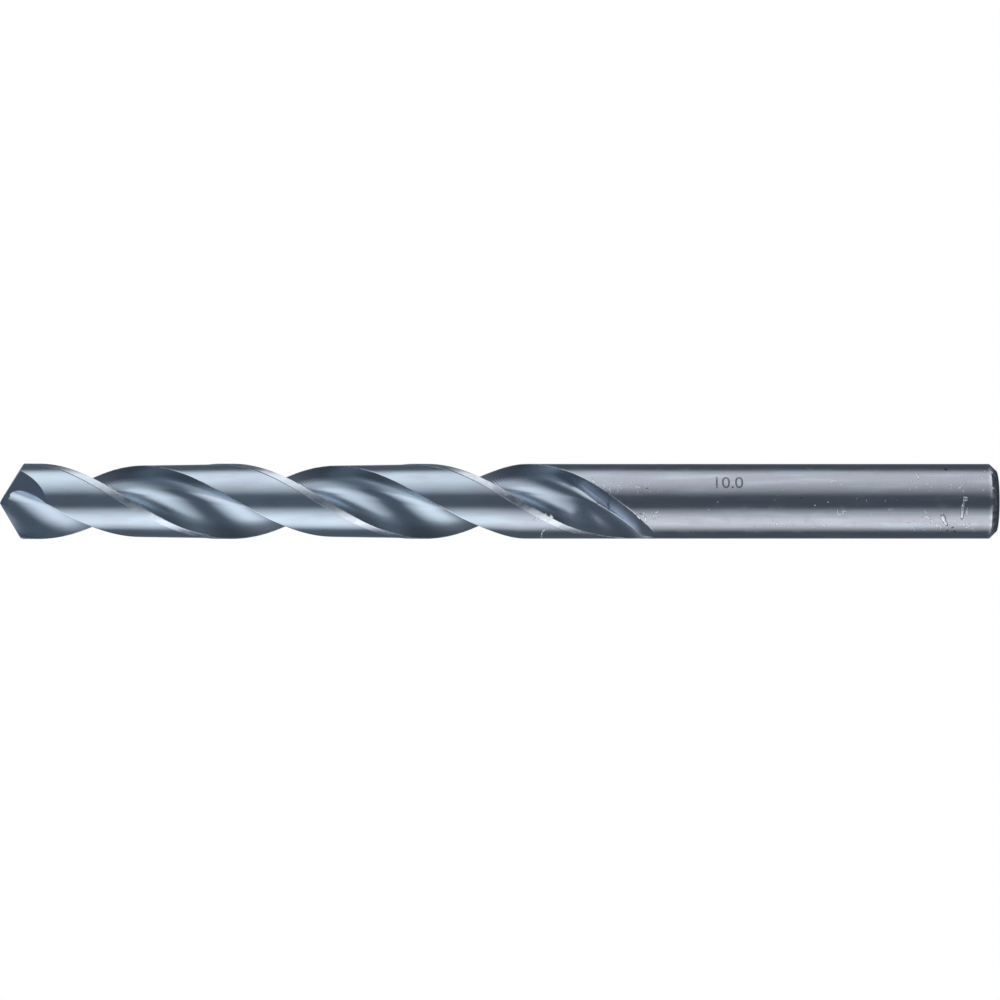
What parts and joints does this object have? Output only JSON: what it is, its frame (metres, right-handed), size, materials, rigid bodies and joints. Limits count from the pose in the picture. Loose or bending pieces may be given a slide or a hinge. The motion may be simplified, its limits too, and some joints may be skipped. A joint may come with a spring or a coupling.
{
  "type": "twist drill bit",
  "caption": "Metal twist drill bit with right-hand helical flutes, narrow margins, a four-facet point and a plain cylindrical shank.",
  "frame": {"origin": "centre of the flat end face of the shank", "axes": "+Z along the axis from the shank end to the point; the cutting lips lie 6.2 degrees from the X axis in plan"},
  "size_m": [0.01, 0.01, 0.133],
  "materials": {
    "ground_steel": "ground and lightly oiled high speed steel, cool blue-grey, bright on the lands and margins"
  },
  "bodies": {
    "root": {"drill_bit": "ground_steel"}
  },
  "joints": []
}
